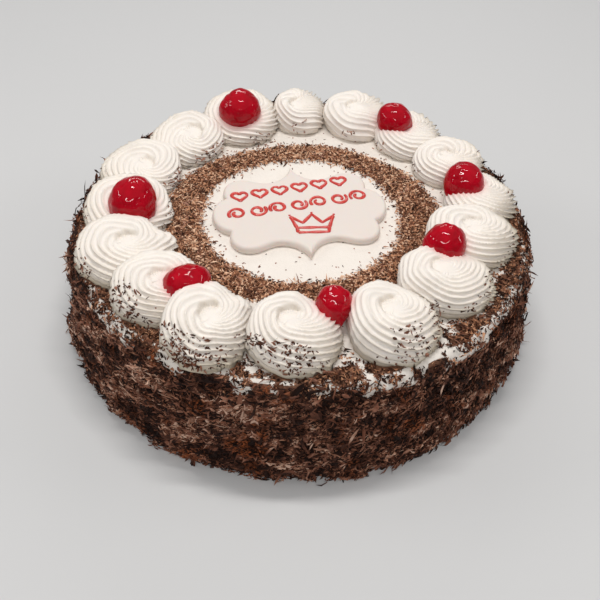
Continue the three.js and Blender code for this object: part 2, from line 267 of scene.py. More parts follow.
def ripple(points, wavelength, seed, waves=9):  # soft random swelling, about -1 to 1
    draw = np.random.default_rng(seed)
    directions = draw.normal(size=(waves, 3))
    directions /= np.linalg.norm(directions, axis=1)[:, None]
    pace = draw.uniform(0.6, 1.5, waves)[:, None] * 2 * math.pi / wavelength
    phase = draw.uniform(0, 2 * math.pi, waves)
    return np.sin(points @ (directions * pace).T + phase).mean(axis=1) * 2.2


def smoothStep(low, high, value):
    share = np.clip((value - low) / (high - low), 0, 1)
    return share * share * (3 - 2 * share)


def plateau(rise, fall, value):  # 1 between the rise and the fall, 0 outside them
    return smoothStep(*rise, value) * (1 - smoothStep(*fall, value))


def hump(offset, breadth):  # 1 where the offset is 0, falling off softly on both sides
    return np.exp(-(offset / breadth) ** 2)


def between(ends, share):
    return ends[0] + (ends[1] - ends[0]) * share


def unit(vectors):
    return vectors / np.maximum(np.linalg.norm(vectors, axis=-1, keepdims=True), 1e-12)


def polar(turn, radius):
    return np.stack([radius * np.cos(turn), radius * np.sin(turn)], axis=-1)


def turning(angle):  # points @ turning(angle) are the points turned counter-clockwise
    return np.array([[math.cos(angle), math.sin(angle)], [-math.sin(angle), math.cos(angle)]])


def bearingOf(points):  # in degrees, 0 to the right and -90 to the front
    return np.degrees(np.arctan2(points[:, 1], points[:, 0]))


layout = {
    "height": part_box("sugar_plaque")[0][2] - 0.35 * mm,
    "radii": (111.5 * mm, 106.5 * mm),  # at the base and at the top
    "rimRound": 4.5 * mm,
    "lean": np.array([1.5 * mm, 0]),  # of the top over the base
    "middle": np.array([1 * mm, 1 * mm]),  # of the band and of the ring of swirls
    "bandInner": 48.2 * mm,
    "bandOuter": 62 * mm,
}

coat = {
    "columns": 360,
    "sideRows": 26,
    "topRows": 46,
    "footInset": 1.5 * mm,
    "tuck": 0.7 * mm,  # the coat lies this far under the shavings' mean surface
    "ledges": [(26 * mm, 1.7 * mm), (10 * mm, 1.1 * mm)],  # the side's unevenness: how far apart and how deep
    "ledgeStretch": 2.3,  # how much longer round the cake than up it
    "ledgeFade": 8 * mm,  # they die away over this height under the top
    "bandLift": 0.8 * mm,
    "bandSwell": (4 * mm, 0.2),  # its unevenness: how far apart, and how much as a share
    "bandBlur": (2 * mm, 2.5 * mm),  # how softly the ring of fine chocolate ends inside and outside
    "topSwell": (30 * mm, 0.15 * mm),  # of the bare top: how far apart and how high
    # the side, and the chocolate of the outer ring, set in over these distances from the top's edge
    "sideFrom": (4 * mm, 0.5 * mm),
    "ringFrom": (14 * mm, 9 * mm),
    # bare places of the outer ring, then of the rim: bearing, half breadth in degrees, and how bare
    "bareRing": [(-58, 6, 0.8), (-96, 3, 0.6)],
    "bareRim": [(-139, 11, 1.35), (-117, 5, 0.9), (-102, 4, 0.9), (-84, 2.5, 0.8), (-69, 8, 1.4),
                (-51, 2.5, 0.8), (-36, 12, 1.9), (8, 8, 0.9), (40, 10, 0.9), (85, 12, 0.9), (128, 7, 0.8),
                (160, 8, 0.9), (176, 5, 0.8), (-10, 7, 1.2)],
    "bareInwards": (4.4 * mm, 2 * mm),  # bareness sets in over this distance from the top's edge
    "bareDownwards": (9 * mm, 4 * mm),  # and over this depth below the top
}


def coatProfile():  # radius and height from the foot to the middle of the top
    height, rounded, topRadius = layout["height"], layout["rimRound"], layout["radii"][1]
    side = [(layout["radii"][0] - coat["footInset"], 0)]
    side += [(between(layout["radii"], share), height * share)
             for share in np.linspace(0.04, 1 - rounded / height, coat["sideRows"])]
    corner = [(topRadius - rounded + rounded * math.cos(a), height - rounded + rounded * math.sin(a))
              for a in np.radians(np.arange(12, 91, 13))]
    flat = [(r, height) for r in np.linspace(topRadius - rounded - 1.2 * mm, 0, coat["topRows"])]
    return np.array(side + corner + flat)


def bandEdge(bearing):  # where the ring of fine chocolate ends, which comes up to the swirls at the sides
    uneven = 2.2 * np.cos(2 * bearing) - 1.6 * np.sin(bearing) + 1.2 * np.sin(5 * bearing + 1)
    uneven = uneven + 2.6 * hump(bearing - 0.6, 0.4)
    return layout["bandOuter"] + uneven * mm


def onBand(plan):  # 1 on the ring of fine chocolate, 0 well off it
    distance = np.linalg.norm(plan, axis=1)
    beyondInner = distance - layout["bandInner"]
    withinOuter = bandEdge(np.arctan2(plan[:, 1], plan[:, 0])) - distance
    inner, outer = coat["bandBlur"]
    return smoothStep(-inner, inner, beyondInner) * smoothStep(-outer, outer, withinOuter)


def rimCover(points):  # how much chocolate lies on the outer ring of the top, in patches
    bearing = bearingOf(points)
    bare = sum(share * hump(bearing - middle, breadth) for middle, breadth, share in coat["bareRing"])
    patches = 0.8 + 0.3 * ripple(points, 14 * mm, 5) + 0.4 * ripple(points, 6 * mm, 8) - bare
    return np.clip(patches, 0, 1)


def relief(points):  # how far the side stands out, in rough ledges that run round it
    stretched = points * np.array([1, 1, coat["ledgeStretch"]])
    return sum(ripple(stretched, size, 2 + i) * depth for i, (size, depth) in enumerate(coat["ledges"]))


def ledgeShare(height):  # how much of that relief there is at a height
    return 1 - smoothStep(layout["height"] - coat["ledgeFade"], layout["height"], height)


def rimBareness(points):  # how bare of chocolate the rim is, on the top's edge and down the side
    bearing = bearingOf(points)
    places = sum(share * hump((bearing - middle + 180) % 360 - 180, breadth)
                 for middle, breadth, share in coat["bareRim"])
    ragged = places + 0.35 * ripple(points, 9 * mm, 12) + 0.3 * ripple(points, 4 * mm, 13)
    away = np.linalg.norm(points[:, :2] - layout["lean"], axis=1)
    wavy = points[:, 2] + ripple(points, 6 * mm, 14) * 2 * mm
    onEdge = smoothStep(*(layout["radii"][1] - inset for inset in coat["bareInwards"]), away)
    nearTop = smoothStep(*(layout["height"] - drop for drop in coat["bareDownwards"]), wavy)
    return smoothStep(0.3, 0.7, ragged) * onEdge * nearTop


def makeCoat(material):
    profile = coatProfile()
    rows, columns, height = len(profile), coat["columns"], layout["height"]
    turns = np.linspace(0, 2 * math.pi, columns, endpoint=False)
    reach, level = profile[:, :1], profile[:, 1:]
    plan = polar(turns, reach) + (layout["lean"] * level / height)[:, None]
    points = np.dstack([plan, np.broadcast_to(level, plan.shape[:2])]).reshape(-1, 3)
    points = points[:(rows - 1) * columns + 1]  # the last row is the one point in the middle
    away = np.linalg.norm(points[:, :2] - layout["lean"], axis=1)
    edge = layout["radii"][1]
    onSide = smoothStep(*(edge - inset for inset in coat["sideFrom"]), away)
    below = ledgeShare(points[:, 2])
    outward = unit(points * np.array([1, 1, 0]))
    points = points + outward * (onSide * (relief(points) * below - coat["tuck"]))[:, None]
    onTop = points[:, 2] > height - 1.5 * mm
    band = onBand(points[:, :2] - layout["middle"]) * onTop
    apart, share = coat["bandSwell"]
    points[:, 2] += band * coat["bandLift"] * (1 - share + share * ripple(points, apart, 4))
    apart, swell = coat["topSwell"]
    points[:, 2] += onTop * (1 - band) * swell * ripple(points, apart, 6)
    side = smoothStep(0.3, 0.9, onSide)
    outerRing = smoothStep(*(edge - inset for inset in coat["ringFrom"]), away) * rimCover(points)
    cover = np.clip(np.maximum(np.maximum(band, side * 1.2), outerRing), 0, 1.2)
    cover = cover * (1 - rimBareness(points))
    faces = gridFaces(rows - 1, columns).tolist()
    last = len(points) - 1
    faces += [[last - columns + i, last - columns + (i + 1) % columns, last] for i in range(columns)]
    faces.append(rowFace(0, columns)[::-1])
    # deep marks the side below the top, where the coat under the shavings is painted near black, partly as
    # painted shade in the gaps
    return makePiece("cream_coat", points, faces, material, ["cake_body"],
                     attributes={"cover": cover, "deep": side * below})


# Bearing, reach, radius, height and stretch are the solids', in degrees and mm. Then the way each swirl opens;
# its eye; its ridges, as rings, arms that fan out and how much they crowd to the open side; how high the tail's
# inner edge stands, in mm; how much further out that edge lies; and how far the start of the rope juts out.
rosetteFields = ("bearing", "reach", "radius", "height", "stretch",
                 "opening", "eye", "ridges", "lip", "curl", "beak")
rosettes = [dict(zip(rosetteFields, row)) for row in (
    (-90.7, 82.3, 18.7, 18.5, (1, 1), 35, (-0.11, 0.02), (11, 9, 0.6), 1.3, 0.05, 0.04),
    (-62.1, 83.4, 19.6, 18.5, (0.94, 1.04), 55, (-0.04, -0.03), (11, 8, 0.55), 1.2, 0.05, 0),
    (-36.3, 78.5, 19.6, 17, (1.03, 0.95), 65, (-0.09, -0.04), (12, 7, 0.5), 0.9, 0.06, 0),
    (-11.2, 79.1, 19.4, 16, (1.02, 0.98), 20, (-0.02, -0.05), (11, 9, 0.6), 0.7, 0.02, 0.03),
    (9.4, 86.6, 17, 13.5, (0.97, 1.03), 15, (-0.11, -0.02), (10, 11, 0.6), 0.5, 0, 0.05),
    (30.8, 84.6, 17.2, 14, (1, 1), 0, (-0.15, -0.10), (10, 12, 0.6), 0.6, 0, 0.05),
    (50.5, 85.5, 17.2, 14.8, (0.97, 1.02), 30, (-0.20, -0.05), (10, 13, 0.6), 0.6, 0, 0.05),
    (71.6, 87.3, 18, 17, (1, 1), 40, (-0.25, 0.01), (8, 16, 0.65), 0.8, 0, 0.08),
    (92.2, 85.6, 15.4, 16.5, (0.93, 1.03), 60, (-0.40, 0), (8, 16, 0.65), 0.9, 0, 0.08),
    (114, 84, 19.5, 16.5, (1, 1), 15, (-0.03, -0.10), (11, 10, 0.6), 0.7, 0, 0.03),
    (137, 83.2, 18.7, 13.5, (1, 1), -60, (0.20, 0.05), (11, 9, 0.6), 0.9, 0.05, 0.05),
    (160, 84.8, 19, 13.5, (1, 1), -50, (0.22, -0.05), (11, 9, 0.6), 0.7, 0, 0.05),
    (181.8, 81.7, 19.8, 14.2, (1, 1), -20, (0.03, -0.09), (11, 10, 0.6), 0.7, 0, 0.04),
    (203.5, 85.8, 19.3, 16, (1, 1), 12, (0.07, -0.14), (11, 9, 0.6), 1.1, 0, 0.24),
    (224.9, 82.7, 19.2, 16.5, (1.04, 0.94), 20, (0, -0.16), (12, 9, 0.6), 0.9, 0.02, 0.06),
    (245.2, 87.7, 19.6, 18.5, (0.9, 1.03), 30, (0.03, -0.25), (11, 10, 0.6), 1.4, 0.03, 0.16),
)]

piping = {
    "rows": 80,
    "columns": 128,
    "armColumns": 12,  # at least so many for each ridge that fans out
    # the dome
    "rim": 0.86,  # where the widest place comes, as a share of the way from the eye to the foot
    "tuck": 0.12,  # how far the foot is drawn in under it
    "widest": (0.15, 0.20),  # its height on the open side and under the tail, as shares of the whole
    "fall": (0.84, 0.56),  # how the dome falls off to it on those two sides
    "plump": 0.98,  # radius of the dome along its ridges, as a share of the rosette's
    "tall": (0.74, 0.93),  # height of the side where the rope starts, and of the side under its tail
    "tallness": 0.85,  # a usual height, as a share of the radius
    # the tail, which comes round over the mound in the middle
    "tail": (110, 352),  # clockwise from the opening, where the rope begins and ends its rise
    "tailTop": ((0, 0.45), (0.80, 1)),  # where along it the tail rises to its full height and falls again
    "overlap": (-0.06, 0.24),  # how far inside and outside its edge it goes over into the slope
    "lipShare": (0.07, 0.21),  # where its inner edge begins and ends, as shares of the way down the dome
    "lipTop": ((0.2, 0.6), (0.86, 1)),  # where along it that edge stands up
    "lipFade": (0.12, 0.08),  # how broad the raised edge is, outwards and inwards
    "beakBreadth": 11,  # of the start of the rope, in degrees
    "beakPlace": ((0.25, 0.6), (0.8, 1)),  # where it juts out, as shares of the way down the dome
    # the ridges, which run round the eye and out to the rim on the open side
    "fan": (-50, 110),  # where they crowd, clockwise from the opening
    "openSide": ((-60, 0), (70, 130)),
    "sway": (0.2, 0.1),  # how much they wander, twice and five times round
    "depth": 1.9 * mm,  # of the grooves between them
    "grooveStart": (0.02, 0.24),  # the grooves deepen over this share of the way from the eye
    "uneven": (0.75, 1.15),  # from one groove to the next
    "fullArms": 12,  # with more ridges than these, the grooves are shallower
    "insideDepth": 0.45,  # of the grooves inside the tail's edge
    "openDepth": (0.8, 1.3),  # under the tail and on the open side
    "footDepth": (0.8, 1.6),  # at the eye and at the foot
    "outerDepth": (0.75, 1.1),  # towards the middle of the cake and out from it
    "crinkles": (24, 0.4),  # round the tail's edge: how many and how deep
    "shadow": (0.3, 0.85, 5),  # how dark the grooves are at the eye, at the foot and at the tail's edge
    "footShadow": 4 * mm,  # how high the foot is a little darker
    # the whole
    "lapRise": 0.10,  # how much the side that lies on its neighbour is higher
    "swell": (17 * mm, 0.7 * mm),  # its unevenness: how far apart and how much
}


def rosetteMiddle(rosette):
    return layout["middle"] + polar(math.radians(rosette["bearing"]), rosette["reach"] * mm)


def domeShape(share, full):  # distance from the axis and height, from 0 at the eye to 1 under the rim
    angle = np.minimum(share / piping["rim"], 1) * math.pi / 2
    under = np.maximum(share - piping["rim"], 0) / (1 - piping["rim"])
    widest = between(piping["widest"], full)
    reach = np.sin(angle) - piping["tuck"] * under ** 1.6
    height = widest + (1 - widest) * np.maximum(np.cos(angle), 0) ** between(piping["fall"], full)
    return reach, height - widest * np.sin(under * math.pi / 2)


def evenShares(count):  # shares of the way from the eye to the foot, at even steps along the dome's section
    share = np.linspace(0, 1, 400)
    reach, height = domeShape(share, 0.5)
    steps = np.hypot(np.diff(reach), np.diff(height) * piping["tallness"])
    along = np.append(0, np.cumsum(steps)) / steps.sum()
    return np.interp(np.linspace(0, 1, count), along, share)


def gridNormals(grid):  # of a grid whose rows go outwards and whose columns run round
    over = np.roll(grid, -1, axis=1) - np.roll(grid, 1, axis=1)
    down = np.gradient(grid, axis=0)
    return unit(np.cross(down, over))


def groove(phase, sharpness=0.6):  # 0 along each ridge and 1 in each groove
    return 1 - np.abs(np.cos(phase * math.pi)) ** sharpness


def makeRosette(index, rosette, material):
    draw = np.random.default_rng(300 + index)
    rings, arms, fanned = rosette["ridges"]
    rows, columns = piping["rows"], max(piping["columns"], arms * piping["armColumns"])
    even = np.linspace(0, 1, rows)[:, None]
    share = evenShares(rows)[:, None]
    turn = np.arange(columns)[None, :] * 360 / columns  # clockwise from the opening
    signed = (turn + 180) % 360 - 180
    # the dome with its tail
    tail = np.clip((turn - piping["tail"][0]) / (piping["tail"][1] - piping["tail"][0]), 0, 1)
    raised = plateau(*piping["tailTop"], tail)
    beyond = share - (between(piping["lipShare"], tail ** 1.5) + rosette["curl"])
    outwards, inwards = piping["lipFade"]
    step = np.where(beyond > 0, np.exp(-beyond / outwards), -np.exp(beyond / inwards))
    step = step * np.minimum(np.abs(beyond) / 0.02, 1)
    lip = rosette["lip"] / rosette["height"] * plateau(*piping["lipTop"], tail)
    reach, height = domeShape(share, raised)
    height = height * between(piping["tall"], raised * smoothStep(*piping["overlap"], beyond)) + lip * step
    beak = rosette["beak"] * hump(signed + 8, piping["beakBreadth"])
    reach = reach * (1 + beak * plateau(*piping["beakPlace"], share))
    plan = polar(np.radians(-turn), reach) + rosette["eye"] * (1 - reach)[..., None]
    radius = rosette["radius"] * piping["plump"]
    grid = np.dstack([plan, height]) * np.array([radius, radius, rosette["height"]]) * mm
    # the ridges
    fan = arms * ((1 - fanned) * (signed + 180) / 360 + fanned * smoothStep(*piping["fan"], signed))
    sway = sum(much * np.sin(np.radians(turn) * times + draw.uniform(0, 6))
               for times, much in zip((2, 5), piping["sway"]))
    phase = rings * even + fan + sway * smoothStep(0, 0.5, even)
    uneven = draw.uniform(*piping["uneven"], 64)[np.clip(np.floor(phase + 0.5).astype(int), 0, 63)]
    # their grooves are deeper on the open side, towards the foot and where they look out from the cake
    opening, bearing = math.radians(rosette["opening"]), math.radians(rosette["bearing"])
    spin = turning(opening)
    outer = smoothStep(-0.3, 0.6, (plan * (spin @ polar(bearing, 1))).sum(axis=-1))
    openSide = plateau(*piping["openSide"], signed) * smoothStep(0.3, 0.8, share)
    inside = (beyond < 0) & (tail > 0.15) & (tail < 1)
    depth = uneven * smoothStep(*piping["grooveStart"], share) * np.where(inside, piping["insideDepth"], 1)
    depth = depth * (1 - 0.2 * raised) * min(1, piping["fullArms"] / arms)
    for ends, place in (("openDepth", openSide), ("footDepth", even), ("outerDepth", outer)):
        depth = depth * between(piping[ends], place)
    crinkles, crinkleDepth = piping["crinkles"]
    crinkled = np.where(inside, np.exp(beyond / 0.05), 0) * crinkleDepth
    hollow = groove(phase) * depth + groove(turn / 360 * crinkles) * crinkled
    grid = grid - gridNormals(grid) * (piping["depth"] * hollow)[..., None]
    # painted shade: the grooves darker at the eye, and more so towards the foot on the side that looks out from
    # the cake; a painted shadow under the tail's edge
    atEye, atFoot, atLip = piping["shadow"]
    dark = hollow * (atEye + atFoot * even ** 2 * outer) + atLip * lip * hump(beyond, 0.03)
    # the way it opens, its lean on its neighbour and its place
    points = grid.reshape(-1, 3)
    points[:, :2] = points[:, :2] @ spin * np.array(rosette["stretch"])
    along = points[:, :2] @ polar(bearing - math.pi / 2, 1) / (rosette["radius"] * mm)
    points[:, 2] *= 1 + piping["lapRise"] * along
    apart, swell = piping["swell"]
    points += (ripple(points, apart, 40 + index) * swell)[:, None] * unit(points)
    points[:, 2] = np.maximum(points[:, 2], 0)
    points += np.append(rosetteMiddle(rosette), layout["height"] + 0.1 * mm)
    # painted contact shadow: the cream darker still near the foot
    low = 1 - smoothStep(0, piping["footShadow"], points[:, 2] - layout["height"])
    dark = np.clip(np.clip(dark, 0, 1).reshape(-1) * (1 + 0.4 * low) + 0.3 * low, 0, 1)
    faces = gridFaces(rows, columns).tolist()
    faces.append(rowFace(rows - 1, columns))
    name = f"rosette_{index + 1:02d}"
    return makePiece(name + "_piped", points, faces, material, [name],
                     attributes={"hollow": dark, "bleed": cherryBleed(points)})


# Middle, radius and stretch are the solids', in mm. Then the way of the stem dimple, the way and length of the
# blunt tip, and the corners and flats of the outline: way to the right and up across the slant, and height.
cherryFields = ("at", "radius", "stretch", "stem", "tip", "point", "corners")
cherries = [dict(zip(cherryFields, row)) for row in (
    ((16.1, -68.2, 62.6), 8, (0.96, 0.96, 1.02), (0.2, 0.9, 0.3), (0.2, -0.7, -0.7), 0.44,
     [(0.9, 0.1, 0.03)]),
    ((65.3, -28.2, 64.4), 9.1, (1.02, 0.98, 0.93), (0.3, 0.8, 0.3), (0.6, -0.6, -0.5), 0.06,
     [(-1, -0.2, 0.12), (0.7, -0.7, 0.08), (-0.5, -0.9, -0.05)]),
    ((78.8, 19.5, 63.8), 9.6, (1.02, 1, 0.98), (0.1, 1, -0.2), (-0.3, 0.5, 0.8), 0.05,
     [(-0.8, -0.9, 0.15), (0.9, -0.75, 0.12), (-1, 0.7, -0.04), (1, 0.7, -0.03)]),
    ((47.7, 69, 66.2), 8.8, (1.04, 1, 0.92), (0.2, 1, -0.1), (1, -0.2, -0.3), 0.16,
     [(-0.6, 0.8, 0.08), (-0.7, -0.8, 0.08), (1, 0.9, -0.03)]),
    ((-33, 71.3, 67.1), 10.6, (1, 0.95, 0.94), (0.3, 0.9, -0.1), (-0.1, -0.6, -0.8), 0.3,
     [(0.05, 1, 0.13), (-1, -0.1, 0.07), (0.95, -0.1, 0.06), (-0.8, -0.9, -0.04), (0.8, -0.9, -0.04)]),
    ((-76.6, -5.8, 64.8), 10.8, (1, 1, 0.97), (-0.8, 0.6, 0), (-0.8, -0.5, -0.4), 0.08,
     [(0.35, 1, 0.1), (-0.75, -0.85, 0.12), (0.8, -0.85, 0.14), (-0.8, 0.6, -0.05)]),
    ((-45.6, -59.6, 63.3), 9.3, (1.06, 0.95, 0.92), (0.2, 0.9, -0.2), (-0.8, -0.5, -0.5), 0.26,
     [(0.85, 0.6, 0.14), (-0.5, 0.85, -0.06), (0.5, -0.85, -0.06)]),
)]

fruit = {
    "rings": 72,
    "columns": 110,
    # angles are in radians, and heights are shares of the radius
    "dimple": (0.24, 0.34),  # depth and breadth
    "shoulder": (0.05, 0.75, 0.3),  # the swelling round it: height, distance from the stem and breadth
    "tipRounding": 0.12,
    "cornerSize": (0.5, 0.7),  # of corners and of flats
    "slantUp": np.array([0, 0.69, 0.72]),
    "swells": [(0.02, 1.6, 70), (0.014, 0.45, 60)],  # unevenness: height, how far apart, and seed
    "folds": (9, 0.012),  # that run out from the stem: how many and how high
    "creases": (0.025, 0.09),  # depth and breadth
    "stain": (0.6, 1.3 * mm),  # of the cream round it: how strong and how far
}


def cherryBleed(points):  # how strongly the cream at each point is stained by a cherry close by
    strength, spread = fruit["stain"]
    stain = np.zeros(len(points))
    for cherry in cherries:
        away = np.linalg.norm(points - np.array(cherry["at"]) * mm, axis=1) - cherry["radius"] * mm
        stain = np.maximum(stain, strength * np.exp(-np.maximum(away, 0) / spread))
    return stain


def angleFrom(way, ways):
    return np.arccos(np.clip(ways @ way, -1, 1))


def makeCherry(index, cherry, material):
    columns = fruit["columns"]
    down = np.linspace(0, math.pi, fruit["rings"])[1:-1, None]
    plan = polar(np.linspace(0, 2 * math.pi, columns, endpoint=False), np.sin(down))
    ways = np.dstack([plan, np.broadcast_to(np.cos(down), plan.shape[:2])]).reshape(-1, 3)
    ways = np.vstack([ways, [0, 0, 1], [0, 0, -1]])
    stem, tip = unit(np.array(cherry["stem"])), unit(np.array(cherry["tip"]))
    offStem = angleFrom(stem, ways)
    depth, breadth = fruit["dimple"]
    reach = 1 - depth * hump(offStem, breadth)
    height, distance, breadth = fruit["shoulder"]
    reach += height * hump(offStem - distance, breadth)
    cone = math.acos(1 / (1 + cherry["point"]))
    offTip = np.hypot(angleFrom(tip, ways), fruit["tipRounding"])
    reach += 1 / np.cos(np.maximum(cone - offTip, 0)) - 1
    for right, above, rise in cherry["corners"]:
        corner = unit(np.array([right, 0, 0]) + above * fruit["slantUp"])
        reach += rise * hump(angleFrom(corner, ways), fruit["cornerSize"][0 if rise > 0 else 1])
    reach += sum(height * ripple(ways, apart, seed + index) for height, apart, seed in fruit["swells"])
    # folds that run out from the stem, and creases
    aside = unit(np.cross(stem, [0.3, 0.5, 0.81]))
    around = np.arctan2(ways @ np.cross(stem, aside), ways @ aside)
    folds, foldHeight = fruit["folds"]
    folding = hump(offStem - 0.6, 0.45) * smoothStep(0, 0.3, offStem)
    reach += foldHeight * folding * np.cos(around * folds + 2 * ripple(ways, 1.2, 50 + index))
    depth, breadth = fruit["creases"]
    creased = hump(np.abs(ripple(ways, 0.9, 90 + index)), breadth)
    reach -= depth * creased * smoothStep(0, 0.7, ripple(ways, 1.3, 80 + index))
    points = ways * reach[:, None] * np.array(cherry["stretch"]) * cherry["radius"] * mm
    points += np.array(cherry["at"]) * mm
    rows = len(down)
    faces = gridFaces(rows, columns)[:, ::-1].tolist()
    first, last, lastRow = rows * columns, rows * columns + 1, (rows - 1) * columns
    for i in range(columns):
        following = (i + 1) % columns
        faces += [[first, i, following], [last, lastRow + following, lastRow + i]]
    name = f"cherry_{index + 1}"
    makePiece(name + "_glazed", points, faces, material, [name])


plaque = {
    "halfWidth": 41.6 * mm,
    "halfHeight": 33.4 * mm,
    "turn": math.radians(10.5),
    "middle": np.array([0.5, 3]) * mm,
    "edge": 1.6 * mm,  # rounding of its upper edge
    "foot": (0.35 * mm, 0.7 * mm),  # how far the lower edge is drawn in, and how high
    "crown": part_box("sugar_plaque")[1][2],
    "swell": (24 * mm, 0.08 * mm),  # unevenness of the top: how far apart and how much
}


def bezier(start, steer, steerEnd, end, count):
    t = np.linspace(0, 1, count, endpoint=False)[:, None]
    a, b, c, d = (np.array(p) for p in (start, steer, steerEnd, end))
    return a * (1 - t) ** 3 + 3 * b * t * (1 - t) ** 2 + 3 * c * t * t * (1 - t) + d * t ** 3


def plaqueOutline(count=22):  # counter-clockwise
    quarter = np.vstack([  # in shares of the half width and half height
        bezier((0, 1), (0.05, 0.84), (0.14, 0.70), (0.28, 0.68), count),
        bezier((0.28, 0.68), (0.42, 0.66), (0.48, 0.79), (0.62, 0.79), count),
        bezier((0.62, 0.79), (0.80, 0.79), (0.88, 0.56), (0.82, 0.37), count),
        bezier((0.82, 0.37), (0.94, 0.32), (1, 0.16), (1, 0), count),
        [(1, 0)],
    ])
    right = np.vstack([quarter, (quarter * (1, -1))[::-1][1:]])
    whole = np.vstack([right[:-1], (right * (-1, 1))[::-1][:-1]])
    return whole[::-1] * (plaque["halfWidth"], plaque["halfHeight"])


def onPlaque(plan):  # turns and moves points drawn on the plaque to where it lies
    return np.asarray(plan) @ turning(plaque["turn"]) + plaque["middle"]


def makePlaque(material):
    base, edge = layout["height"] + 0.1 * mm, plaque["edge"]
    thick = plaque["crown"] - base
    outline = plaqueOutline()
    count = len(outline)
    along = unit(np.roll(outline, -1, axis=0) - np.roll(outline, 1, axis=0))
    inward = np.stack([-along[:, 1], along[:, 0]], axis=-1)
    # the edge is rounded less where the outline leaves little room for it, at the points
    gaps = outline[None] - outline[:, None]
    inside = np.maximum((gaps * inward[:, None]).sum(axis=-1), 1e-9)
    room = (gaps ** 2).sum(axis=-1) / (2 * inside) + np.eye(count)
    rounding = np.clip(0.75 * room.min(axis=1) / edge, 0.06, 1)[:, None]
    for _ in range(6):
        inward = unit(np.roll(inward, 1, axis=0) + inward * 2 + np.roll(inward, -1, axis=0))
    rings = [(plaque["foot"][0], 0), (0, plaque["foot"][1]), (0, thick - edge)]
    rings += [(edge * (1 - math.cos(a)), thick - edge * (1 - math.sin(a)))
              for a in np.radians((22, 45, 68, 90))]
    layers = [np.column_stack([outline + inward * rounding * inset, np.full(count, base + height)])
              for inset, height in rings]
    # the flat top goes over into an oval
    halves = np.array([plaque["halfWidth"], plaque["halfHeight"]])
    x, y = (outline / halves).T
    oval = polar(np.arctan2(y, x), 1) * halves * 0.62
    rim = layers[-1][:, :2]
    for share in (0.12, 0.4, 0.75, 1):
        layers.append(np.column_stack([rim * (1 - share) + oval * share, np.full(count, plaque["crown"])]))
    points = np.vstack(layers)
    points[:, :2] = onPlaque(points[:, :2])
    apart, swell = plaque["swell"]
    points[:, 2] += ripple(points, apart, 31) * swell * smoothStep(0, 1 * mm, points[:, 2] - base)
    faces = gridFaces(len(layers), count).tolist()
    faces += [rowFace(0, count)[::-1], rowFace(len(layers) - 1, count)]
    makePiece("sugar_plaque_rolled", points, faces, material, ["sugar_plaque"])


gel = {
    "width": 1.75 * mm,
    "height": 0.6 * mm,
    "sunk": 0.15 * mm,
    "sides": 8,
    # the drawing, in mm on the plaque
    "hearts": dict(count=6, first=(-27.5, 12.6), step=(9.9, 1.3), size=3.7),
    "scroll": dict(count=7, first=(-30.0, -0.6), step=(9.9, 1.15), size=3.9),
    "crown": dict(middle=(3.4, -18.6), width=21.5, height=14.5, lean=math.radians(-5)),
}


def heartLine(size):
    t = np.linspace(0, 2 * math.pi, 30)
    x = np.sin(t) ** 3
    y = (13 * np.cos(t) - 5 * np.cos(2 * t) - 2 * np.cos(3 * t) - np.cos(4 * t)) / 16
    return np.stack([x, y], axis=-1) * size


def curlLine(size):  # a wave that rolls over into a curl
    t = np.linspace(0, 1, 40)
    return polar(math.pi * 1.2 - t * math.pi * 2.5, size * (1.08 - 0.70 * t))


def crownLines(width, height):
    w, h = width / 2, height
    foot = [(-0.66 * w, 0), (0.66 * w, 0), (0.70 * w, 3.4), (-0.70 * w, 3.4), (-0.66 * w, 0)]
    peaks = [(-0.70 * w, 3.4), (-0.94 * w, h * 0.80), (-0.42 * w, h * 0.48), (0, h * 0.92),
             (0.42 * w, h * 0.48), (0.94 * w, h * 0.80), (0.70 * w, 3.4)]
    balls = [[(x - 0.5, y), (x + 0.5, y)] for x, y in ((-0.97 * w, h * 0.88), (0, h), (0.97 * w, h * 0.88))]
    return [np.array(line, dtype=float) for line in (foot, peaks, *balls)]


def dense(line, step=0.5):  # a polyline with points every step
    gaps = np.linalg.norm(np.diff(line, axis=0), axis=1)
    places = np.concatenate([[0], np.cumsum(gaps)])
    fresh = np.linspace(0, places[-1], max(2, int(places[-1] / step)))
    return np.stack([np.interp(fresh, places, line[:, k]) for k in (0, 1)], axis=-1)


def gelStroke(line, draw):  # a low rounded bead along a line drawn on the plaque, in mm
    line = dense(line)
    count, sides = len(line), gel["sides"]
    ahead = unit(np.gradient(line, axis=0))
    across = np.stack([-ahead[:, 1], ahead[:, 0]], axis=-1)
    thick = 1 + 0.14 * np.sin(np.linspace(0, count * 0.35, count) + draw.uniform(0, 6))
    fromEnd = np.minimum(np.arange(count) + 0.6, count - np.arange(count) - 0.4)
    thick *= np.sqrt(np.clip(fromEnd / 1.6, 0.2, 1))
    turn = np.linspace(0, math.pi, sides)
    aside = (gel["width"] / 2 * thick)[:, None, None] * np.cos(turn)[None, :, None]
    plan = line[:, None, :] * mm + across[:, None, :] * aside
    rise = (gel["height"] + gel["sunk"]) * thick[:, None] ** 0.5 * np.sin(turn)
    points = np.dstack([onPlaque(plan), plaque["crown"] - gel["sunk"] + rise]).reshape(-1, 3)
    faces = gridFaces(count, sides).tolist()
    faces += [rowFace(0, sides)[::-1], rowFace(count - 1, sides)]
    return points, faces


def gelLines():
    hearts, scroll, crown = gel["hearts"], gel["scroll"], gel["crown"]
    lines = [heartLine(hearts["size"]) + (np.array(hearts["first"]) + np.array(hearts["step"]) * i)
             for i in range(hearts["count"])]
    lines += [curlLine(scroll["size"]) * (-1) ** i + np.array(scroll["first"]) + np.array(scroll["step"]) * i
              for i in range(scroll["count"])]
    spin = turning(crown["lean"])
    lines += [line @ spin + crown["middle"] for line in crownLines(crown["width"], crown["height"])]
    return lines


